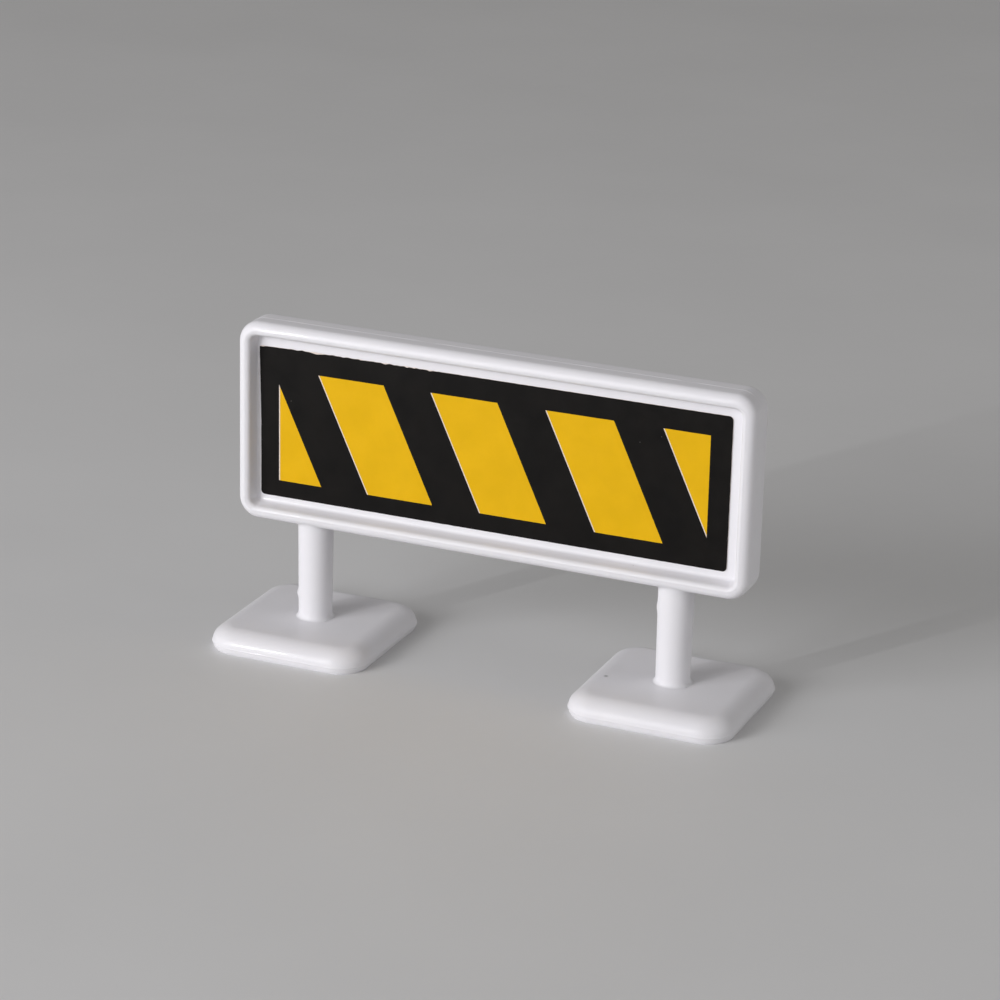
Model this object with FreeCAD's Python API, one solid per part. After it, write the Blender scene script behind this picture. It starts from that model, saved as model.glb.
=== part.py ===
import FreeCAD, Part
import math
import os

from FreeCAD import Vector

# A toy road barrier: one framed sign panel on two round posts, each post
# standing in its own square base, with a printed self-adhesive label in the
# panel's front recess.
#
# Frame, in millimetres: X along the panel, Y from the front of the panel to
# its back, Z up. The origin is on the ground, midway between the two posts
# and in the panel's middle plane.

# Sign panel
PANEL_WIDTH = 75.0
PANEL_HEIGHT = 28.45
PANEL_DEPTH = 6.05
PANEL_BOTTOM = 17.15
PANEL_CORNER_RADIUS = 3.0
PANEL_EDGE_RADIUS = 1.3
WEB_THICKNESS = 1.6
RAIL_WIDTH_AT_CREST = 1.9
RAIL_WIDTH_AT_WEB = 2.2
RECESS_CORNER_RADIUS = 0.8
CREST_INNER_RADIUS = 0.5
PARTING_RIDGE_HEIGHT = 0.05
PARTING_RIDGE_WIDTH = 0.2

# Posts
POST_SPACING = 53.4
POST_RADIUS_AT_BASE = 2.36
POST_RADIUS_AT_PANEL = 2.48
FOOT_BLEND_RADIUS = 0.8
HEAD_BLEND_RADIUS = 0.7
SPIGOT_RADIUS = 1.5
SPIGOT_LENGTH = 1.6

# Bases
BASE_SIDE = 23.7
BASE_HEIGHT = 3.2
BASE_CORNER_RADIUS = 4.35
BASE_WIDEST_HEIGHT = 0.95
BASE_FOOT_INSET = 0.45
BASE_TOP_ROUNDING = 2.2

# Label, from the web outwards: adhesive, facestock, ink
LABEL_WIDTH = 68.6
LABEL_HEIGHT = 21.6
LABEL_SHIFT_X = -0.47
LABEL_SHIFT_Z = -0.19
LABEL_TILT = 0.11
LABEL_CORNER_RADIUS = 0.6
LABEL_SHARP_CORNER_RADIUS = 0.2
ADHESIVE_THICKNESS = 0.02
FACESTOCK_THICKNESS = 0.09
INK_THICKNESS = 0.02

# Printed pattern: five yellow shapes, which are slanted stripes of one pitch
# cut off by an upright rectangle
PATTERN_WIDTH = 62.9
PATTERN_HEIGHT = 16.05
PATTERN_SHIFT_X = -0.6
PATTERN_SHIFT_Z = -0.51
PATTERN_TILT = 0.25
STRIPE_COUNT = 5
STRIPE_PITCH = 16.76
STRIPE_WIDTH = 9.8
STRIPE_LEAN = 0.465
FIRST_STRIPE_START = -10.78
YELLOW_SHIFT = 0.17

# Derived places
HALF_DEPTH = PANEL_DEPTH / 2
HALF_WEB = WEB_THICKNESS / 2
PANEL_CENTRE_Z = PANEL_BOTTOM + PANEL_HEIGHT / 2
UP = Vector(0, 0, 1)
BACKWARD = Vector(0, 1, 0)
FORWARD = Vector(0, -1, 0)


def rounded_outline(width, height, radii, place):
    """Closed outline of a rounded rectangle, centred on (0, 0).

    radii are those of the corners, anticlockwise from the top right, and
    place turns a point (u, v) of the outline into a point in space.
    """
    half_u = width / 2
    half_v = height / 2
    corners = [(1, 1, 0), (-1, 1, 90), (-1, -1, 180), (1, -1, 270)]
    arcs = []
    for (side_u, side_v, start), radius in zip(corners, radii):
        centre_u = side_u * (half_u - radius)
        centre_v = side_v * (half_v - radius)
        points = []
        for turn in (0, 45, 90):
            angle = math.radians(start + turn)
            u = centre_u + radius * math.cos(angle)
            v = centre_v + radius * math.sin(angle)
            points.append(place(u, v))
        arcs.append(points)
    edges = []
    for points, following in zip(arcs, arcs[1:] + arcs[:1]):
        edges.append(Part.Arc(*points).toShape())
        edges.append(Part.LineSegment(points[2], following[0]).toShape())
    return Part.Wire(edges)


def upright_outline(width, height, radius, y):
    """Rounded rectangle in a plane of constant y, centred on the panel."""
    return rounded_outline(
        width, height, [radius] * 4, lambda u, v: Vector(u, y, PANEL_CENTRE_Z + v)
    )


def upright_plate(width, height, radius, y_front, thickness):
    """Flat plate with rounded corners, centred on the panel."""
    outline = upright_outline(width, height, radius, y_front)
    return Part.Face(outline).extrude(BACKWARD * thickness)


def recess(side):
    """Space inside the frame on one side (-1 front, 1 back), with draft."""
    inner = upright_outline(
        PANEL_WIDTH - 2 * RAIL_WIDTH_AT_WEB,
        PANEL_HEIGHT - 2 * RAIL_WIDTH_AT_WEB,
        RECESS_CORNER_RADIUS,
        side * HALF_WEB,
    )
    widening = RAIL_WIDTH_AT_WEB - RAIL_WIDTH_AT_CREST
    outer = upright_outline(
        PANEL_WIDTH - 2 * RAIL_WIDTH_AT_CREST,
        PANEL_HEIGHT - 2 * RAIL_WIDTH_AT_CREST,
        RECESS_CORNER_RADIUS + widening,
        side * HALF_DEPTH,
    )
    return Part.makeLoft([inner, outer], True, True)


def distance_from_rim(point):
    """How far a point lies inside the panel's outer outline."""
    from_side = PANEL_WIDTH / 2 - abs(point.x)
    from_end = PANEL_HEIGHT / 2 - abs(point.z - PANEL_CENTRE_Z)
    return min(from_side, from_end)


def make_panel_form():
    """The panel's outer form: a rounded plate with round outer edges."""
    form = upright_plate(
        PANEL_WIDTH, PANEL_HEIGHT, PANEL_CORNER_RADIUS, -HALF_DEPTH, PANEL_DEPTH
    )
    return form.makeFillet(PANEL_EDGE_RADIUS, crest_edges(form, 0))


def crest_edges(shape, least_inset):
    """Edges on the front and back planes, at least least_inset from the rim."""
    edges = []
    for edge in shape.Edges:
        on_crest = all(abs(abs(v.Y) - HALF_DEPTH) < 1e-6 for v in edge.Vertexes)
        inside = all(distance_from_rim(v.Point) > least_inset - 1e-3 for v in edge.Vertexes)
        if on_crest and inside:
            edges.append(edge)
    return edges


def make_panel_blank(form):
    """The panel as moulded, before the sockets for the posts."""
    blank = form
    for side in (-1, 1):
        blank = blank.cut(recess(side))
    blank = blank.makeFillet(CREST_INNER_RADIUS, crest_edges(blank, RAIL_WIDTH_AT_CREST))
    ridge = upright_plate(
        PANEL_WIDTH + 2 * PARTING_RIDGE_HEIGHT,
        PANEL_HEIGHT + 2 * PARTING_RIDGE_HEIGHT,
        PANEL_CORNER_RADIUS + PARTING_RIDGE_HEIGHT,
        -PARTING_RIDGE_WIDTH / 2,
        PARTING_RIDGE_WIDTH,
    )
    return blank.fuse(ridge)


def make_sign_panel(blank):
    """The panel with a blind socket in its lower rail for each post."""
    panel = blank
    for side in (-1, 1):
        mouth = Vector(side * POST_SPACING / 2, 0, PANEL_BOTTOM - 1)
        panel = panel.cut(Part.makeCylinder(SPIGOT_RADIUS, SPIGOT_LENGTH + 1, mouth, UP))
    return panel


def blended(solid, shaft, x, radius, is_seam):
    """A solid and a post's shaft as one, with a concave blend between them."""
    joined = solid.fuse(shaft)
    seam = []
    for edge in joined.Edges:
        points = [edge.valueAt(p) for p in edge.ParameterRange]
        reaches = [math.hypot(point.x - x, point.y) for point in points]
        on_shaft = all(SPIGOT_RADIUS < reach < POST_RADIUS_AT_PANEL + 0.1 for reach in reaches)
        if on_shaft and all(is_seam(point.z) for point in points):
            seam.append(edge)
    return joined.makeFillet(radius, seam)


def make_post(x, form, blank):
    """Tapered round post, blended at both ends, with a spigot at each end."""
    length = PANEL_BOTTOM - BASE_HEIGHT
    overrun = 1.0
    taper = (POST_RADIUS_AT_PANEL - POST_RADIUS_AT_BASE) / length
    shaft = Part.makeCone(
        POST_RADIUS_AT_BASE - taper * overrun,
        POST_RADIUS_AT_PANEL + taper * overrun,
        length + 2 * overrun,
        Vector(x, 0, BASE_HEIGHT - overrun),
        UP,
    )
    base = make_base_blank(x)
    head = blended(form, shaft, x, HEAD_BLEND_RADIUS, lambda z: z > PANEL_BOTTOM - 0.1)
    foot = blended(base, shaft, x, FOOT_BLEND_RADIUS, lambda z: abs(z - BASE_HEIGHT) < 0.1)
    post = head.cut(form).fuse(foot).cut(base).cut(blank)
    spigots = Part.makeCylinder(
        SPIGOT_RADIUS,
        length + 2 * SPIGOT_LENGTH,
        Vector(x, 0, BASE_HEIGHT - SPIGOT_LENGTH),
        UP,
    )
    return post.fuse(spigots).removeSplitter()


def base_outline(inset, x, z):
    """The foot's outline at height z, inset from its widest place."""
    side = BASE_SIDE - 2 * inset
    radii = [BASE_CORNER_RADIUS - inset] * 4
    return rounded_outline(side, side, radii, lambda u, v: Vector(x + u, v, z))


def make_base_blank(x):
    """Low square foot: widest just above the ground, with a rounded top."""
    ground = base_outline(BASE_FOOT_INSET, x, 0)
    widest = base_outline(0, x, BASE_WIDEST_HEIGHT)
    skirt = Part.makeLoft([ground, widest], True, True)
    upper = Part.Face(widest).extrude(UP * (BASE_HEIGHT - BASE_WIDEST_HEIGHT))
    top_edges = [
        edge for edge in upper.Edges if all(abs(v.Z - BASE_HEIGHT) < 1e-6 for v in edge.Vertexes)
    ]
    return skirt.fuse(upper.makeFillet(BASE_TOP_ROUNDING, top_edges))


def make_base(x):
    """The foot with a blind socket for the post."""
    mouth = Vector(x, 0, BASE_HEIGHT - SPIGOT_LENGTH)
    socket = Part.makeCylinder(SPIGOT_RADIUS, BASE_HEIGHT, mouth, UP)
    return make_base_blank(x).cut(socket)


def tilt(shape, degrees):
    """Turn a shape about the panel's centre, anticlockwise from the front."""
    turned = shape.copy()
    turned.rotate(Vector(0, 0, PANEL_CENTRE_Z), BACKWARD, -degrees)
    return turned


def label_layer(start, thickness):
    """One layer of the label, from start to start + thickness off the web."""
    radii = [LABEL_CORNER_RADIUS] * 4
    radii[1] = LABEL_SHARP_CORNER_RADIUS
    outline = rounded_outline(
        LABEL_WIDTH,
        LABEL_HEIGHT,
        radii,
        lambda u, v: Vector(
            LABEL_SHIFT_X + u,
            -HALF_WEB - start,
            PANEL_CENTRE_Z + LABEL_SHIFT_Z + v,
        ),
    )
    return tilt(Part.Face(outline).extrude(FORWARD * thickness), LABEL_TILT)


def stripe_shape(number, shift, start):
    """One printed shape: a slanted stripe cut off by the pattern's rectangle.

    number counts from 0 at the left, and shift moves the stripe to the right.
    """
    half_width = PATTERN_WIDTH / 2
    half_height = PATTERN_HEIGHT / 2
    top_left = -half_width + FIRST_STRIPE_START + number * STRIPE_PITCH
    overrun = 1.0
    corners = []
    for across, v in ((0, 1), (1, 1), (1, -1), (0, -1)):
        edge_v = v * (half_height + overrun)
        lean = STRIPE_LEAN * (half_height - edge_v)
        corners.append((top_left + across * STRIPE_WIDTH + lean, edge_v))
    rectangle = [
        (-half_width, half_height),
        (half_width, half_height),
        (half_width, -half_height),
        (-half_width, -half_height),
    ]
    solids = []
    for outline in (corners, rectangle):
        points = [
            Vector(
                PATTERN_SHIFT_X + shift + u,
                -HALF_WEB - start,
                PANEL_CENTRE_Z + PATTERN_SHIFT_Z + v,
            )
            for u, v in outline
        ]
        face = Part.Face(Part.makePolygon(points + points[:1]))
        solids.append(face.extrude(FORWARD * INK_THICKNESS))
    return tilt(solids[0].common(solids[1]), PATTERN_TILT)


def make_label():
    """The label's layers, by node name."""
    ink_start = ADHESIVE_THICKNESS + FACESTOCK_THICKNESS
    black = label_layer(ink_start, INK_THICKNESS)
    yellow = {}
    for number in range(STRIPE_COUNT):
        window = stripe_shape(number, 0, ink_start)
        black = black.cut(window)
        printed = stripe_shape(number, YELLOW_SHIFT, ink_start)
        yellow[f"label_yellow_print_{number + 1}"] = window.common(printed)
    return {
        "label_adhesive": label_layer(0, ADHESIVE_THICKNESS),
        "label_facestock": label_layer(ADHESIVE_THICKNESS, FACESTOCK_THICKNESS),
        "label_black_print": black,
        **yellow,
    }


def build():
    """Every node of the barrier, by name."""
    form = make_panel_form()
    blank = make_panel_blank(form)
    post = make_post(-POST_SPACING / 2, form, blank)
    base = make_base(-POST_SPACING / 2)
    across = Vector(POST_SPACING, 0, 0)
    return {
        "sign_panel": make_sign_panel(blank),
        "left_post": post,
        "right_post": post.translated(across),
        "left_base": base,
        "right_base": base.translated(across),
        **make_label(),
    }


os.makedirs("parts", exist_ok=True)
for name, shape in build().items():
    solid = shape.Solids[0] if len(shape.Solids) == 1 else shape
    box = solid.BoundBox
    print(
        f"{name}: valid {solid.isValid()}, solids {len(shape.Solids)},",
        f"volume {solid.Volume:.3f},",
        f"x {box.XMin:.2f}..{box.XMax:.2f},",
        f"y {box.YMin:.3f}..{box.YMax:.3f},",
        f"z {box.ZMin:.2f}..{box.ZMax:.2f}",
    )
    solid.exportStep(f"parts/{name}.step")
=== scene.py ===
import math

import bmesh
import bpy
from mathutils import Matrix, Vector, noise


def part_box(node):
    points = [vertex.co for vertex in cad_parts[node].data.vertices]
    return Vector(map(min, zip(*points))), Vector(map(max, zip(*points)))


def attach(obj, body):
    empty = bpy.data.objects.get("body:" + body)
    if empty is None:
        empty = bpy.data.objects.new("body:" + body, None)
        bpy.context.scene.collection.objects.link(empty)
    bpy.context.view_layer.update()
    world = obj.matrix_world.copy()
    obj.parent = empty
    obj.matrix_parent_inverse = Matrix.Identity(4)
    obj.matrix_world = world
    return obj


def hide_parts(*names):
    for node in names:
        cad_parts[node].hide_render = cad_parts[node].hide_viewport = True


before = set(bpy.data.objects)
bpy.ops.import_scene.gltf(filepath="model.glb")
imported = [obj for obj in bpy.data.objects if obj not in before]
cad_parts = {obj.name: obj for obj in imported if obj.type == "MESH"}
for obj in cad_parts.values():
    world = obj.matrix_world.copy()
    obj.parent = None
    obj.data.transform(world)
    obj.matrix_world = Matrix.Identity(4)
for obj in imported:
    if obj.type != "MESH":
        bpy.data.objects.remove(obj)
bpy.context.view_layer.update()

# ---------------------------------------------------------------- sizes
# Lengths are in millimetres. Angles are in degrees, and half angles in radians.
# The pieces' places and outer sizes come from the frame.

MM = 0.001

# Panel
PARTING_RIDGE = 0.05
PARTING_HALF_WIDTH = 0.1
PARTING_SHARE_WORN = 0.4
PANEL_CORNER_RADIUS = 3.0
PANEL_EDGE_RADIUS = 1.3
RAIL_WIDTH_AT_CREST = 1.9
RAIL_WIDTH_AT_WEB = 2.2
CREST_INNER_RADIUS = 0.72
WEB_ROOT_RADIUS = 0.5
WEB_THICKNESS = 1.6

# Posts
POST_RADIUS_AT_BASE = 2.36
POST_RADIUS_AT_PANEL = 2.48
POST_BLEND = 0.7
POST_BLEND_ON_BEAD = 0.4
POST_FOOT_REACH = 0.5
POST_FOOT_RISE = 0.95
POST_PIMPLE_ANGLE = -32
POST_PIMPLE_HEIGHT = 0.09
POST_PIMPLE_HALF_ANGLE = 0.07
POST_PIMPLE_OUTWARD = 0.45
POST_PIMPLE_HALF_WIDTH = 0.18
POST_BUMP_HALF_ANGLE = 0.28
POST_MARKS_FADE = 0.6
SPIGOT_RADIUS = 1.5
SPIGOT_LENGTH = 1.6
POST_FLASH_HEIGHT = 0.05
POST_FLASH_HALF_ANGLE = 0.05
POST_TOP_STEPS = (2.3, 1.9, SPIGOT_RADIUS)
LEFT_POST_BUMPS = (
    # angle, height above the ground, size, half length
    (200, 6.6, 0.2, 0.45),
)
RIGHT_POST_BUMPS = ((200, 13.9, 0.12, 0.7),)

# Bases
BASE_CORNER_RADIUS = 4.35
BASE_WIDEST_HEIGHT = 0.95
BASE_FOOT_INSET = 0.45
BASE_ROUNDING_HEIGHT = 2.2
BASE_ROUNDING_REACH = 2.8
BASE_FLASH_ROOM = 0.12
BASE_FLASH_HEIGHT = 0.045
BASE_FLASH_HALF_WIDTH = 0.06
BASE_BACK_CORNER_NUB = (11.5, 9.2, 0.12, 2.2)
BASE_FRONT_CORNER_NUB = (-11.5, -9.2, 0.07, 2.2)
LEFT_BASE_SIDE_NUB = (-11.8, 1.0, 0.08, 0.6)
RIGHT_BASE_SIDE_NUB = (-11.8, 1.0, 0.12, 0.9)
# A small grey speck on the right base
BASE_SPECK_PLACE = (18.0, -2.4, 3.2)
BASE_SPECK_RADIUS = 0.4

# Label
LABEL_WIDTH = 68.6
LABEL_HEIGHT = 21.6
LABEL_SHIFT_X = -0.47
LABEL_SHIFT_Z = -0.19
LABEL_TILT = 0.11
LABEL_CORNER_RADIUS = 0.6
LABEL_SHARP_CORNER_RADIUS = 0.2
LABEL_EDGE_WANDER = 0.025
LABEL_CORNER_STRETCH = 0.24
LABEL_CORNER_DROP = 0.12
LABEL_CORNER_SHARE = 0.25
LABEL_BURR_START = -30.0
LABEL_BURR_END = -7.0
LABEL_BURR = 0.09
LABEL_FILM_PAST_CHIP = 0.35
LABEL_CHIPS = (
    # place along the top edge, depth, length
    (-33.9, 0.10, 0.35),
    (-25.9, 0.17, 0.85),
    (-19.3, 0.06, 0.30),
    (-15.6, 0.10, 0.35),
    (-12.4, 0.12, 0.28),
    (-11.3, 0.10, 0.22),
    (-9.0, 0.12, 0.35),
)
ADHESIVE_THICKNESS = 0.02
FACESTOCK_THICKNESS = 0.09
INK_THICKNESS = 0.02
PATTERN_WIDTH = 62.9
PATTERN_HEIGHT = 16.05
PATTERN_SHIFT_X = -0.6
PATTERN_SHIFT_Z = -0.51
PATTERN_TILT = 0.25
STRIPE_COUNT = 5
STRIPE_PITCH = 16.76
STRIPE_WIDTH = 9.8
STRIPE_LEAN = 0.465
FIRST_STRIPE_START = -10.78
YELLOW_SHIFT = 0.17
STRIPE_EDGE_WANDER = 0.02
STRIPE_POINT_SPACING = 0.3

# Places read from the frame, in millimetres
panel_low, panel_high = (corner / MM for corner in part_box("sign_panel"))
PANEL_HALF_WIDTH = (panel_high.x - panel_low.x) / 2 - PARTING_RIDGE
PANEL_HALF_HEIGHT = (panel_high.z - panel_low.z) / 2 - PARTING_RIDGE
PANEL_HALF_DEPTH = (panel_high.y - panel_low.y) / 2
PANEL_CENTRE_Z = (panel_high.z + panel_low.z) / 2
PANEL_BOTTOM = panel_low.z + PARTING_RIDGE
WEB_FRONT_Y = -WEB_THICKNESS / 2


# ---------------------------------------------------------------- mesh helpers
def rounded_outline(half_u, half_v, radii, step=0.8, corner_steps=14):
    """Points of a rounded rectangle, anticlockwise, each with its outward normal.

    radii are those of the corners, anticlockwise from the top right. Returns
    a list of (u, v, normal_u, normal_v). Moving each point along its normal
    gives the same outline, wider or narrower.
    """
    bends = []
    corners = [(1, 1, 0), (-1, 1, 90), (-1, -1, 180), (1, -1, 270)]
    for (side_u, side_v, start), radius in zip(corners, radii):
        bend = []
        for i in range(corner_steps + 1):
            angle = math.radians(start + 90 * i / corner_steps)
            normal_u = math.cos(angle)
            normal_v = math.sin(angle)
            u = side_u * (half_u - radius) + radius * normal_u
            v = side_v * (half_v - radius) + radius * normal_v
            bend.append((u, v, normal_u, normal_v))
        bends.append(bend)
    points = []
    for bend, following in zip(bends, bends[1:] + bends[:1]):
        points += bend
        start_u, start_v, normal_u, normal_v = bend[-1]
        end_u, end_v = following[0][:2]
        pieces = max(1, round(math.dist((start_u, start_v), (end_u, end_v)) / step))
        for i in range(1, pieces):
            share = i / pieces
            u = start_u + (end_u - start_u) * share
            v = start_v + (end_v - start_v) * share
            points.append((u, v, normal_u, normal_v))
    return points


def arc(centre, radius, start, end, steps):
    """Points of an arc in a profile's plane, angles in degrees."""
    points = []
    for i in range(steps + 1):
        angle = math.radians(start + (end - start) * i / steps)
        points.append((centre[0] + radius * math.cos(angle), centre[1] + radius * math.sin(angle)))
    return points


def mesh_from_rings(name, rings):
    """A tube through rings of equal length, with a flat face at each end."""
    mesh = bpy.data.meshes.new(name)
    build = bmesh.new()
    made = [[build.verts.new(Vector(point) * MM) for point in ring] for ring in rings]
    count = len(rings[0])
    for ring, following in zip(made, made[1:]):
        for i in range(count):
            j = (i + 1) % count
            build.faces.new((ring[i], ring[j], following[j], following[i]))
    build.faces.new(made[0][::-1])
    build.faces.new(made[-1])
    bmesh.ops.recalc_face_normals(build, faces=build.faces)
    build.to_mesh(mesh)
    build.free()
    return mesh


def add_piece(name, mesh, node, smooth_angle=50):
    """Put a mesh in the scene as the piece that stands for a CAD node."""
    mesh.shade_smooth()
    mesh.set_sharp_from_angle(angle=math.radians(smooth_angle))
    piece = bpy.data.objects.new(name, mesh)
    bpy.context.scene.collection.objects.link(piece)
    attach(piece, "root")
    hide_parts(node)
    return piece


def cut_cylinder(piece, x, z_low, z_high, radius):
    """Cut a round blind socket into a piece with a boolean, and apply it."""
    mesh = bpy.data.meshes.new("cutter")
    build = bmesh.new()
    bmesh.ops.create_cone(
        build,
        cap_ends=True,
        segments=48,
        radius1=radius * MM,
        radius2=radius * MM,
        depth=(z_high - z_low) * MM,
        matrix=Matrix.Translation(Vector((x, 0, (z_low + z_high) / 2)) * MM),
    )
    build.to_mesh(mesh)
    build.free()
    cutter = bpy.data.objects.new("cutter", mesh)
    bpy.context.scene.collection.objects.link(cutter)
    boolean = piece.modifiers.new("socket", "BOOLEAN")
    boolean.operation = "DIFFERENCE"
    boolean.solver = "EXACT"
    boolean.object = cutter
    bpy.context.view_layer.update()
    evaluated = piece.evaluated_get(bpy.context.evaluated_depsgraph_get())
    cut = bpy.data.meshes.new_from_object(evaluated)
    cut.set_sharp_from_angle(angle=math.radians(50))
    piece.modifiers.remove(boolean)
    piece.data = cut
    bpy.data.objects.remove(cutter)


# ---------------------------------------------------------------- panel
def panel_half_profile():
    """Points (inset, distance from the middle plane), from the ridge to the web."""
    edge_start = PANEL_HALF_DEPTH - PANEL_EDGE_RADIUS
    profile = [(-PARTING_RIDGE, PARTING_HALF_WIDTH * 0.25)]
    profile.append((-PARTING_RIDGE * 0.55, PARTING_HALF_WIDTH * 0.7))
    profile.append((0.0, PARTING_HALF_WIDTH))
    profile.append((0.0, PARTING_HALF_WIDTH * 1.8))
    profile.append((0.0, edge_start * 0.6))
    for inset, height in arc((PANEL_EDGE_RADIUS, edge_start), PANEL_EDGE_RADIUS, 180, 90, 14):
        profile.append((inset, height))
    crest_inset = RAIL_WIDTH_AT_CREST - CREST_INNER_RADIUS
    crest_depth = PANEL_HALF_DEPTH - CREST_INNER_RADIUS
    profile += arc((crest_inset, crest_depth), CREST_INNER_RADIUS, 90, 8, 6)
    root_inset = RAIL_WIDTH_AT_WEB + WEB_ROOT_RADIUS * 0.85
    root_centre = (root_inset, WEB_THICKNESS / 2 + WEB_ROOT_RADIUS)
    profile += arc(root_centre, WEB_ROOT_RADIUS, 188, 270, 6)
    last_inset = profile[-1][0]
    profile.append((last_inset + 0.15, WEB_THICKNESS / 2))
    return profile


def make_panel():
    """The panel: the same half profile, back and front, swept round its outline."""
    radii = [PANEL_CORNER_RADIUS] * 4
    outline = rounded_outline(PANEL_HALF_WIDTH, PANEL_HALF_HEIGHT, radii)
    half = panel_half_profile()
    profile = half[::-1] + [(inset, -depth) for inset, depth in half]
    rings = []
    for inset, depth in profile:
        ring = []
        for u, v, normal_u, normal_v in outline:
            here = inset
            if inset < 0:
                wave = noise.noise(Vector((u * 0.35, v * 0.35, 3.0)))
                fade = PARTING_SHARE_WORN if normal_u > 0.5 else 1.0
                here = inset * fade * min(1.0, max(0.15, 0.62 + 0.7 * wave))
            ring.append((u - here * normal_u, depth, PANEL_CENTRE_Z + v - here * normal_v))
        rings.append(ring)
    mesh = mesh_from_rings("sign_panel_shell", rings)
    piece = add_piece("sign_panel_shell", mesh, "sign_panel")
    for side in ("left", "right"):
        low, high = (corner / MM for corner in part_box(f"{side}_post"))
        x = (low.x + high.x) / 2
        cut_cylinder(piece, x, PANEL_BOTTOM - 1, PANEL_BOTTOM + SPIGOT_LENGTH, SPIGOT_RADIUS)
    return piece


# ---------------------------------------------------------------- posts
def bead_height(y):
    """Height of the panel's underside at a distance y from its middle plane."""
    beyond = abs(y) - (PANEL_HALF_DEPTH - PANEL_EDGE_RADIUS)
    if beyond <= 0:
        return PANEL_BOTTOM
    drop = math.sqrt(max(0.0, PANEL_EDGE_RADIUS**2 - beyond**2))
    return PANEL_BOTTOM + PANEL_EDGE_RADIUS - drop


def post_flash(angle, z):
    """Height of the moulding flash that runs up both sides of a post."""
    height = 0.0
    for side in (0, 1):
        away = math.remainder(angle - side * math.pi, 2 * math.pi)
        ridge = math.exp(-((away / POST_FLASH_HALF_ANGLE) ** 2))
        wave = 0.55 + 0.6 * noise.noise(Vector((z * 0.5, side * 9.0, 1.0)))
        height += ridge * POST_FLASH_HEIGHT * max(0.1, wave)
    return height


def post_bumps(angle, z, bumps):
    """Height of a post's small bumps, each (angle, height, size, half length)."""
    height = 0.0
    for bump_angle, bump_z, size, length in bumps:
        away = math.remainder(angle - math.radians(bump_angle), 2 * math.pi)
        along = (z - bump_z) / length
        height += size * math.exp(-((away / POST_BUMP_HALF_ANGLE) ** 2) - along**2)
    return height


def foot_pimple(angle, outward):
    """Height of the small pimple on the foot's blend, outward from the shaft."""
    turned = math.remainder(angle - math.radians(POST_PIMPLE_ANGLE), 2 * math.pi)
    around = turned / POST_PIMPLE_HALF_ANGLE
    across = (outward - POST_PIMPLE_OUTWARD) / POST_PIMPLE_HALF_WIDTH
    return POST_PIMPLE_HEIGHT * math.exp(-(around**2) - across**2)


def make_post(name, node, bumps):
    """A post: spigot, foot blend, tapered shaft, blend into the panel, spigot."""
    low, high = (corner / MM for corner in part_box(node))
    x = (low.x + high.x) / 2
    base_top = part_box(node.replace("post", "base"))[1].z / MM
    columns = 168
    angles = [2 * math.pi * i / columns for i in range(columns)]

    def radius_at(z):
        share = (z - base_top) / (PANEL_BOTTOM - base_top)
        return POST_RADIUS_AT_BASE + (POST_RADIUS_AT_PANEL - POST_RADIUS_AT_BASE) * share

    def ring(radius_of, height_of):
        points = []
        for angle in angles:
            radius = radius_of(angle)
            y = radius * math.sin(angle)
            points.append((x + radius * math.cos(angle), y, height_of(angle, y)))
        return points

    rings = []
    for z in (base_top - SPIGOT_LENGTH, base_top):
        rings.append(ring(lambda a: SPIGOT_RADIUS, lambda a, y: z))
    foot_steps = 16
    for i in range(foot_steps + 1):
        t = i / foot_steps
        outward = POST_FOOT_REACH * (1 - t) ** 2
        radius = POST_RADIUS_AT_BASE + outward
        z = base_top + POST_FOOT_RISE * t * t
        rings.append(ring(lambda a: radius, lambda a, y: z + foot_pimple(a, outward)))
    rows = 60
    bottom = base_top + POST_FOOT_RISE
    top = PANEL_BOTTOM - POST_BLEND
    for i in range(1, rows):
        z = bottom + (top - bottom) * i / rows
        fade = min(1.0, (z - bottom) / POST_MARKS_FADE, (top - z) / POST_MARKS_FADE)
        rings.append(
            ring(
                lambda a: radius_at(z) + fade * (post_flash(a, z) + post_bumps(a, z, bumps)),
                lambda a, y: z,
            )
        )
    steps = 10
    for i in range(steps + 1):
        t = i / steps
        points = []
        for angle in angles:
            front = math.sin(angle) ** 2
            reach = POST_BLEND + (POST_BLEND_ON_BEAD - POST_BLEND) * front
            corner_radius = POST_RADIUS_AT_PANEL
            corner_z = bead_height(corner_radius * math.sin(angle))
            end_radius = corner_radius + reach
            end_z = bead_height(end_radius * math.sin(angle))
            start_z = PANEL_BOTTOM - POST_BLEND
            near = (1 - t) ** 2
            bend = 2 * t * (1 - t)
            far = t * t
            radius = near * radius_at(start_z) + bend * corner_radius + far * end_radius
            z = near * start_z + bend * corner_z + far * end_z
            points.append((x + radius * math.cos(angle), radius * math.sin(angle), z))
        rings.append(points)
    for radius in POST_TOP_STEPS:
        rings.append(ring(lambda a: radius, lambda a, y: bead_height(y)))
    top_z = PANEL_BOTTOM + SPIGOT_LENGTH
    rings.append(ring(lambda a: SPIGOT_RADIUS, lambda a, y: top_z))
    return add_piece(name, mesh_from_rings(name, rings), node)


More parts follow.
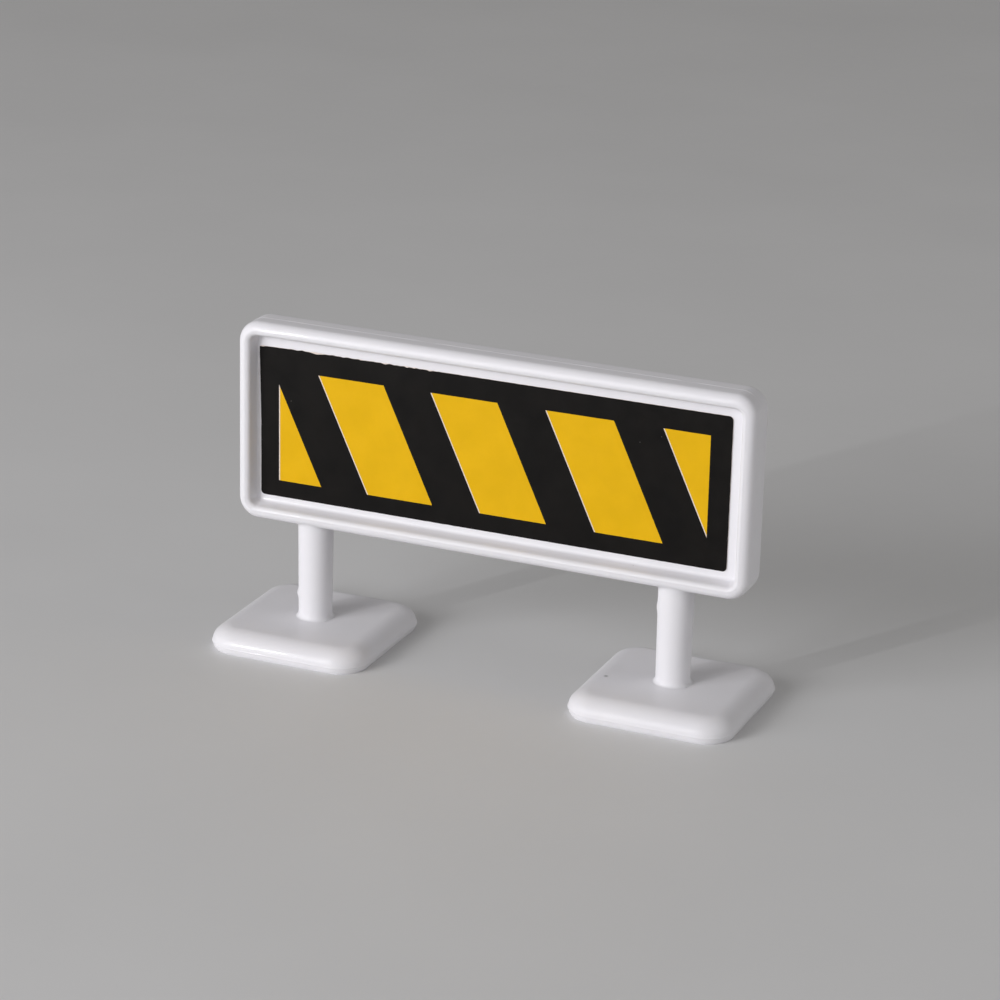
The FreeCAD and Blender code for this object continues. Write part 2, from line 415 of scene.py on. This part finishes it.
# ---------------------------------------------------------------- bases
def base_profile(height):
    """Points (inset, z) up a base's side: foot rounding, wall, long rounding."""
    wall = BASE_FLASH_ROOM
    reach = BASE_FOOT_INSET - wall
    radius = (BASE_WIDEST_HEIGHT**2 + reach**2) / (2 * reach)
    ground_angle = 180 + math.degrees(math.asin(BASE_WIDEST_HEIGHT / radius))
    profile = [(BASE_FOOT_INSET + 0.3, 0.0)]
    profile += arc((wall + radius, BASE_WIDEST_HEIGHT), radius, ground_angle, 188, 10)
    for step in range(-2, 5):
        profile.append((wall, BASE_WIDEST_HEIGHT + BASE_FLASH_HALF_WIDTH * step / 2))
    steps = 30
    for i in range(steps + 1):
        angle = math.radians(90 * i / steps)
        inset = wall + BASE_ROUNDING_REACH * (1 - math.cos(angle))
        z = height - BASE_ROUNDING_HEIGHT * (1 - math.sin(angle))
        if z > BASE_WIDEST_HEIGHT + 3 * BASE_FLASH_HALF_WIDTH:
            profile.append((inset, z))
    profile.append((wall + BASE_ROUNDING_REACH + 0.25, height))
    return profile


def make_base(name, node, nubs):
    """A base; nubs are marks on the parting line: (u, v, size, length)."""
    low, high = (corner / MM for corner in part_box(node))
    centre_x = (low.x + high.x) / 2
    height = high.z
    half_x = (high.x - low.x) / 2
    half_y = (high.y - low.y) / 2
    radii = [BASE_CORNER_RADIUS] * 4
    outline = rounded_outline(half_x, half_y, radii, step=0.3, corner_steps=24)
    rings = []
    for inset, z in base_profile(height):
        off_line = (z - BASE_WIDEST_HEIGHT) / BASE_FLASH_HALF_WIDTH
        flash = BASE_FLASH_HEIGHT * math.exp(-(off_line**2))
        swelling = math.exp(-((off_line / 2.5) ** 2))
        ring = []
        for u, v, normal_u, normal_v in outline:
            wave = noise.noise(Vector((centre_x + u * 0.5, v * 0.5, 6.0)))
            here = inset - flash * (1 + wave)
            for nub_u, nub_v, size, length in nubs:
                away = math.hypot(u - nub_u, v - nub_v) / length
                here -= size * swelling * math.exp(-(away**4))
            here = max(0.0, here)
            ring.append((centre_x + u - here * normal_u, v - here * normal_v, z))
        rings.append(ring)
    piece = add_piece(name, mesh_from_rings(name, rings), node)
    cut_cylinder(piece, centre_x, height - SPIGOT_LENGTH, height + 1, SPIGOT_RADIUS)
    return piece


# ---------------------------------------------------------------- label
def tilted(u, v, degrees):
    """Turn a point about the panel's centre, anticlockwise from the front."""
    angle = math.radians(degrees)
    return (
        u * math.cos(angle) - v * math.sin(angle),
        u * math.sin(angle) + v * math.cos(angle),
    )


def wander(points, amount, scale, seed):
    """Move each point of an outline a little, smoothly along its length."""
    moved = []
    for u, v in points:
        shift_u = noise.noise(Vector((u * scale, v * scale, seed)))
        shift_v = noise.noise(Vector((u * scale, v * scale, seed + 17.0)))
        moved.append((u + amount * shift_u, v + amount * shift_v))
    return moved


def divided(corners, step):
    """A closed polygon with its sides divided into short stretches."""
    points = []
    for start, end in zip(corners, corners[1:] + corners[:1]):
        length = math.dist(start, end)
        pieces = max(1, round(length / step))
        for i in range(pieces):
            share = i / pieces
            points.append(
                (start[0] + (end[0] - start[0]) * share, start[1] + (end[1] - start[1]) * share)
            )
    return points


def flat_layer(name, outline, holes, start, thickness):
    """A thin plate in front of the web, with holes, from outlines in (u, v)."""
    mesh = bpy.data.meshes.new(name)
    build = bmesh.new()
    front_y = WEB_FRONT_Y - start - thickness
    edges = []
    for loop in [outline, *holes]:
        ring = [build.verts.new(Vector((u, front_y, PANEL_CENTRE_Z + v)) * MM) for u, v in loop]
        for i, vert in enumerate(ring):
            edges.append(build.edges.new((vert, ring[(i + 1) % len(ring)])))
    bmesh.ops.triangle_fill(build, use_beauty=True, use_dissolve=False, edges=edges)
    for face in build.faces:
        if face.normal.y > 0:
            face.normal_flip()
    front_faces = list(build.faces)
    extruded = bmesh.ops.extrude_face_region(build, geom=front_faces)
    back = [item for item in extruded["geom"] if isinstance(item, bmesh.types.BMVert)]
    bmesh.ops.translate(build, verts=back, vec=Vector((0, thickness * MM, 0)))
    bmesh.ops.recalc_face_normals(build, faces=build.faces)
    build.to_mesh(mesh)
    build.free()
    return mesh


def label_outline(is_ink):
    """The label's edge; the ink is chipped back along part of the top.

    The top left corner is pulled out and down a little.
    """
    radii = [LABEL_CORNER_RADIUS] * 4
    radii[1] = LABEL_SHARP_CORNER_RADIUS
    half_width = LABEL_WIDTH / 2
    half_height = LABEL_HEIGHT / 2
    outline = rounded_outline(half_width, half_height, radii, step=0.12)
    points = []
    for u, v, normal_u, normal_v in outline:
        out = LABEL_EDGE_WANDER * noise.noise(Vector((u * 1.1, v * 1.1, 2.0)))
        if normal_v > 0.7:
            if LABEL_BURR_START < u < LABEL_BURR_END:
                out += LABEL_BURR * noise.noise(Vector((u * 1.3, 0.0, 6.0)))
            for place, depth, length in LABEL_CHIPS:
                chip = depth * math.exp(-(((u - place) / length) ** 2))
                out += -chip if is_ink else LABEL_FILM_PAST_CHIP * chip
        leftward = (-u / half_width - 1) / LABEL_CORNER_SHARE + 1
        corner = max(0.0, leftward) * max(0.0, v / half_height)
        moved_u = u + out * normal_u - LABEL_CORNER_STRETCH * corner
        moved_v = v + out * normal_v - LABEL_CORNER_DROP * corner**2
        points.append(tilted(LABEL_SHIFT_X + moved_u, LABEL_SHIFT_Z + moved_v, LABEL_TILT))
    return points


def clip(polygon, low, high):
    """The part of a convex polygon between two upright lines."""
    for limit, keep in ((low, 1), (high, -1)):
        kept = []
        for here, there in zip(polygon, polygon[1:] + polygon[:1]):
            inside = keep * (here[0] - limit) >= 0
            next_inside = keep * (there[0] - limit) >= 0
            if inside:
                kept.append(here)
            if inside != next_inside:
                share = (limit - here[0]) / (there[0] - here[0])
                kept.append((limit, here[1] + (there[1] - here[1]) * share))
        polygon = kept
    return polygon


def stripe_outline(number, left_gap):
    """A slanted stripe cut off by the pattern's upright rectangle.

    left_gap moves the left-hand sides in, and leaves the right-hand sides.
    """
    half_width = PATTERN_WIDTH / 2
    half_height = PATTERN_HEIGHT / 2
    top_left = -half_width + FIRST_STRIPE_START + number * STRIPE_PITCH
    lean = STRIPE_LEAN * PATTERN_HEIGHT
    corners = [
        (top_left + left_gap, half_height),
        (top_left + lean + left_gap, -half_height),
        (top_left + STRIPE_WIDTH + lean, -half_height),
        (top_left + STRIPE_WIDTH, half_height),
    ]
    corners = clip(corners, -half_width + left_gap, half_width)
    points = [(PATTERN_SHIFT_X + u, PATTERN_SHIFT_Z + v) for u, v in corners]
    return [tilted(u, v, PATTERN_TILT) for u, v in points]


def printed_stripe(number, left_gap):
    """A stripe's outline with the slightly uneven edge of a print."""
    points = divided(stripe_outline(number, left_gap), STRIPE_POINT_SPACING)
    return wander(points, STRIPE_EDGE_WANDER, 2.3, 5.0)


def make_label():
    """The label's layers, as a list of (piece, what it is made of)."""
    edge = label_outline(is_ink=False)
    black_edge = label_outline(is_ink=True)
    windows = [printed_stripe(number, 0) for number in range(STRIPE_COUNT)]
    glue_and_film = ADHESIVE_THICKNESS + FACESTOCK_THICKNESS
    # name, node, slot, outline, holes, start, thickness
    layers = [
        ("label_adhesive_film", "label_adhesive", "label_glue", edge, [], 0, ADHESIVE_THICKNESS),
        (
            "label_facestock_film",
            "label_facestock",
            "label_film",
            edge,
            [],
            ADHESIVE_THICKNESS,
            FACESTOCK_THICKNESS,
        ),
        (
            "label_black_ink",
            "label_black_print",
            "print_black",
            black_edge,
            windows,
            glue_and_film,
            INK_THICKNESS,
        ),
    ]
    for number in range(STRIPE_COUNT):
        name = f"label_yellow_ink_{number + 1}"
        node = f"label_yellow_print_{number + 1}"
        shape = printed_stripe(number, YELLOW_SHIFT)
        layers.append((name, node, "print_yellow", shape, [], glue_and_film, INK_THICKNESS))
    pieces = []
    for name, node, slot, outline, holes, start, thickness in layers:
        mesh = flat_layer(name, outline, holes, start, thickness)
        pieces.append((add_piece(name, mesh, node, 30), slot))
    return pieces


# ---------------------------------------------------------------- materials
PLASTIC_TONES = ((0.800, 0.790, 0.820, 1), (0.815, 0.806, 0.832, 1))
PLASTIC_FLECK = (0.42, 0.40, 0.38, 1)
PLASTIC_DUST = (0.55, 0.53, 0.50, 1)
PLASTIC_SPECK = (0.30, 0.29, 0.29, 1)
INK_DUST = (0.45, 0.43, 0.40, 1)
BLACK_TONES = ((0.0035, 0.0030, 0.0026, 1), (0.0065, 0.0054, 0.0046, 1))
YELLOW_TONES = ((0.74, 0.425, 0.0035, 1), (0.79, 0.455, 0.005, 1))
FILM_TONES = ((0.70, 0.60, 0.54, 1), (0.80, 0.72, 0.66, 1))
GLUE_TONES = ((0.62, 0.56, 0.44, 1), (0.75, 0.70, 0.60, 1))
FLOOR_TONES = ((0.70, 0.70, 0.70, 1), (0.73, 0.73, 0.73, 1))


class Nodes:
    """Short names for adding and joining shader nodes."""

    def __init__(self, name):
        self.material = bpy.data.materials.new(name)
        self.material.use_nodes = True
        self.tree = self.material.node_tree
        self.shader = self.tree.nodes["Principled BSDF"]
        self.place = self.add("ShaderNodeTexCoord").outputs["Object"]

    def add(self, kind, inputs=None, **settings):
        node = self.tree.nodes.new(kind)
        for key, value in settings.items():
            setattr(node, key, value)
        for key, value in (inputs or {}).items():
            if isinstance(value, bpy.types.NodeSocket):
                self.tree.links.new(value, node.inputs[key])
            else:
                node.inputs[key].default_value = value
        return node

    def noise(self, size_mm, detail=2.0, roughness=0.5):
        inputs = {"Vector": self.place, "Scale": 1 / (size_mm * MM)}
        inputs.update({"Detail": detail, "Roughness": roughness})
        return self.add("ShaderNodeTexNoise", inputs).outputs["Fac"]

    def specks(self, spacing_mm, size_mm, share):
        """1 on a few small spots scattered one to a cell, and 0 between them."""
        inputs = {"Vector": self.place, "Scale": 1 / (spacing_mm * MM)}
        cells = self.add("ShaderNodeTexVoronoi", inputs)
        reach = size_mm / 2 / spacing_mm
        spot = self.ramp(cells.outputs["Distance"], reach * 0.6, reach, 1.0, 0.0)
        split = self.add("ShaderNodeSeparateColor", {"Color": cells.outputs["Color"]})
        chosen = self.math("LESS_THAN", split.outputs["Red"], share)
        return self.math("MULTIPLY", spot, chosen)

    def spot(self, place_mm, radius_mm):
        """1 on one small round mark at a place on the object, and 0 elsewhere."""
        inputs = {0: self.place, 1: Vector(place_mm) * MM}
        away = self.add("ShaderNodeVectorMath", inputs, operation="DISTANCE").outputs["Value"]
        return self.ramp(away, radius_mm * MM * 0.3, radius_mm * MM, 0.8, 0.0)

    def ramp(self, value, low, high, out_low=0.0, out_high=1.0):
        inputs = {"Value": value, "From Min": low, "From Max": high}
        inputs.update({"To Min": out_low, "To Max": out_high})
        return self.add("ShaderNodeMapRange", inputs).outputs["Result"]

    def mix(self, share, first, second):
        node = self.add("ShaderNodeMix", data_type="RGBA")
        # sockets 0, 6, 7 and output 2 are the factor, the two colours and the colour
        for number, value in ((0, share), (6, first), (7, second)):
            socket = node.inputs[number]
            if isinstance(value, bpy.types.NodeSocket):
                self.tree.links.new(value, socket)
            else:
                socket.default_value = value
        return node.outputs[2]

    def math(self, operation, first, second=0.0):
        return self.add("ShaderNodeMath", {0: first, 1: second}, operation=operation).outputs[0]

    def bump(self, height, distance_mm, strength=1.0, under=None):
        inputs = {"Height": height, "Distance": distance_mm * MM, "Strength": strength}
        if under is not None:
            inputs["Normal"] = under
        return self.add("ShaderNodeBump", inputs).outputs["Normal"]

    def join(self, output, socket):
        self.tree.links.new(output, self.shader.inputs[socket])


def white_plastic():
    """Soft-gloss moulded plastic, slightly uneven, with a few flecks."""
    m = Nodes("moulded_white_plastic")
    cloud = m.noise(9.0, 3.0)
    tone = m.mix(m.ramp(cloud, 0.35, 0.65), *PLASTIC_TONES)
    tone = m.mix(m.specks(2.6, 0.24, 0.04), tone, PLASTIC_FLECK)
    tone = m.mix(m.specks(1.1, 0.10, 0.08), tone, PLASTIC_DUST)
    tone = m.mix(m.spot(BASE_SPECK_PLACE, BASE_SPECK_RADIUS), tone, PLASTIC_SPECK)
    m.join(tone, "Base Color")
    smear = m.noise(3.0, 4.0, 0.6)
    m.join(m.ramp(smear, 0.3, 0.7, 0.38, 0.48), "Roughness")
    flow = m.bump(m.noise(6.0, 2.0), 0.03, 0.3)
    peel = m.bump(m.noise(0.45, 3.0), 0.002, 0.25, flow)
    m.join(peel, "Normal")
    m.shader.inputs["Specular IOR Level"].default_value = 0.25
    m.shader.inputs["Coat Weight"].default_value = 0.12
    m.shader.inputs["Coat Roughness"].default_value = 0.045
    m.shader.inputs["Subsurface Weight"].default_value = 0.12
    m.shader.inputs["Subsurface Radius"].default_value = (1.0, 0.95, 0.9)
    m.shader.inputs["Subsurface Scale"].default_value = 1.2 * MM
    return m.material


def printed_ink(name, dark, light):
    """A glossy print with fine grain and a little dust."""
    m = Nodes(name)
    cloud = m.noise(4.0, 4.0)
    grain = m.noise(0.12, 2.0)
    tone = m.mix(m.ramp(cloud, 0.35, 0.65), dark, light)
    tone = m.mix(m.ramp(grain, 0.40, 0.60, 0.0, 0.25), tone, dark)
    dust = m.math("MULTIPLY", m.specks(1.6, 0.13, 0.15), 0.35)
    tone = m.mix(dust, tone, INK_DUST)
    m.join(tone, "Base Color")
    m.join(m.ramp(m.noise(1.5, 3.0), 0.35, 0.65, 0.28, 0.40), "Roughness")
    waves = m.bump(m.noise(5.0, 2.0), 0.02, 0.4)
    m.join(m.bump(m.noise(0.2, 2.0), 0.002, 0.4, waves), "Normal")
    m.shader.inputs["Specular IOR Level"].default_value = 0.12
    return m.material


def label_film():
    m = Nodes("white_label_film")
    fibre = m.noise(0.2, 4.0, 0.7)
    tone = m.mix(m.ramp(fibre, 0.3, 0.7), *FILM_TONES)
    m.join(tone, "Base Color")
    m.join(m.ramp(fibre, 0.3, 0.7, 0.45, 0.65), "Roughness")
    m.join(m.bump(fibre, 0.01, 0.5), "Normal")
    return m.material


def label_glue():
    m = Nodes("label_glue_film")
    haze = m.noise(0.5, 3.0)
    tone = m.mix(m.ramp(haze, 0.3, 0.7), *GLUE_TONES)
    m.join(tone, "Base Color")
    m.join(m.ramp(haze, 0.3, 0.7, 0.35, 0.55), "Roughness")
    m.join(m.bump(haze, 0.01, 0.4), "Normal")
    return m.material


def floor_surface():
    m = Nodes("pale_floor")
    cloud = m.noise(60.0, 3.0)
    tone = m.mix(m.ramp(cloud, 0.3, 0.7), *FLOOR_TONES)
    m.join(tone, "Base Color")
    m.join(m.ramp(m.noise(3.0, 3.0), 0.3, 0.7, 0.55, 0.65), "Roughness")
    m.join(m.bump(m.noise(0.4, 3.0), 0.01, 0.3), "Normal")
    return m.material


# ---------------------------------------------------------------- stage
CAMERA_AZIMUTH = 22.66
CAMERA_ELEVATION = 19.78
CAMERA_ROLL = -1.49
CAMERA_DISTANCE = 477.5
CAMERA_AIM = (0.84, 0.0, 24.86)
CAMERA_LENS = 127.17
SENSOR_WIDTH = 36

# Lights, in metres and watts
LIGHT_AIM = (0, 0, 0.02)
KEY_PLACE = (-0.46, -0.74, 0.31)
KEY_SIZE = (0.6, 0.5)
KEY_POWER = 5.75
KEY_COLOUR = (0.98, 0.975, 1.0)
FILL_PLACE = (0.9, 0.0, 0.35)
FILL_SIZE = (0.6, 0.6)
FILL_POWER = 1.15
GLINT_PLACE = (-0.412, -0.782, 0.265)
GLINT_SHIFTS = (-0.005, 0.005)
GLINT_SIZE = (0.006, 0.2)
GLINT_POWER = 0.6
SKY_COLOUR = (1.0, 0.98, 0.965, 1)
SKY_STRENGTH = 0.26
FLOOR_REACH = 3.0


def add_camera():
    """A camera placed by azimuth, elevation, roll and distance from its aim."""
    azimuth = math.radians(CAMERA_AZIMUTH)
    elevation = math.radians(CAMERA_ELEVATION)
    roll = math.radians(CAMERA_ROLL)
    away = Vector(
        (
            math.sin(azimuth) * math.cos(elevation),
            -math.cos(azimuth) * math.cos(elevation),
            math.sin(elevation),
        )
    )
    level = (-away).cross(Vector((0, 0, 1))).normalized()
    down = (-away).cross(level)
    right = math.cos(roll) * level + math.sin(roll) * down
    up = math.sin(roll) * level - math.cos(roll) * down
    data = bpy.data.cameras.new("camera")
    data.lens = CAMERA_LENS
    data.sensor_width = SENSOR_WIDTH
    camera = bpy.data.objects.new("camera", data)
    turn = Matrix((right, up, away)).transposed().to_4x4()
    place = (Vector(CAMERA_AIM) + CAMERA_DISTANCE * away) * MM
    camera.matrix_world = Matrix.Translation(place) @ turn
    bpy.context.scene.collection.objects.link(camera)
    bpy.context.scene.camera = camera


def add_area_light(name, place, size, power, colour=(1, 1, 1)):
    data = bpy.data.lights.new(name, "AREA")
    data.shape = "RECTANGLE"
    data.size, data.size_y = size
    data.energy = power
    data.color = colour
    light = bpy.data.objects.new(name, data)
    light.location = place
    light.rotation_euler = (Vector(LIGHT_AIM) - Vector(place)).to_track_quat("-Z", "Y").to_euler()
    bpy.context.scene.collection.objects.link(light)


def add_stage():
    """The floor, the studio light and the plain view transform."""
    mesh = bpy.data.meshes.new("floor")
    reach = FLOOR_REACH
    corners = [(-reach, -reach, 0), (reach, -reach, 0), (reach, reach, 0), (-reach, reach, 0)]
    mesh.from_pydata(corners, [], [(0, 1, 2, 3)])
    floor = bpy.data.objects.new("floor", mesh)
    floor.data.materials.append(floor_surface())
    bpy.context.scene.collection.objects.link(floor)
    world = bpy.data.worlds.new("studio")
    world.use_nodes = True
    background = world.node_tree.nodes["Background"]
    background.inputs["Color"].default_value = SKY_COLOUR
    background.inputs["Strength"].default_value = SKY_STRENGTH
    bpy.context.scene.world = world
    add_area_light("key", KEY_PLACE, KEY_SIZE, KEY_POWER, KEY_COLOUR)
    add_area_light("fill", FILL_PLACE, FILL_SIZE, FILL_POWER)
    for number, shift in enumerate(GLINT_SHIFTS):
        x, y, z = GLINT_PLACE
        add_area_light(f"glint_{number + 1}", (x + shift, y, z), GLINT_SIZE, GLINT_POWER)
    bpy.context.scene.view_settings.view_transform = "Standard"


# ---------------------------------------------------------------- the object
def main():
    plastic = white_plastic()
    surfaces = {
        "label_glue": label_glue(),
        "label_film": label_film(),
        "print_black": printed_ink("black_ink", *BLACK_TONES),
        "print_yellow": printed_ink("yellow_ink", *YELLOW_TONES),
    }
    white = [make_panel()]
    white.append(make_post("left_post_shell", "left_post", LEFT_POST_BUMPS))
    white.append(make_post("right_post_shell", "right_post", RIGHT_POST_BUMPS))
    corner_nubs = [BASE_BACK_CORNER_NUB, BASE_FRONT_CORNER_NUB]
    white.append(make_base("left_base_shell", "left_base", [LEFT_BASE_SIDE_NUB, *corner_nubs]))
    white.append(make_base("right_base_shell", "right_base", [RIGHT_BASE_SIDE_NUB, *corner_nubs]))
    for piece in white:
        piece.data.materials.clear()
        piece.data.materials.append(plastic)
    for piece, slot in make_label():
        piece.data.materials.append(surfaces[slot])
    add_stage()
    add_camera()


main()
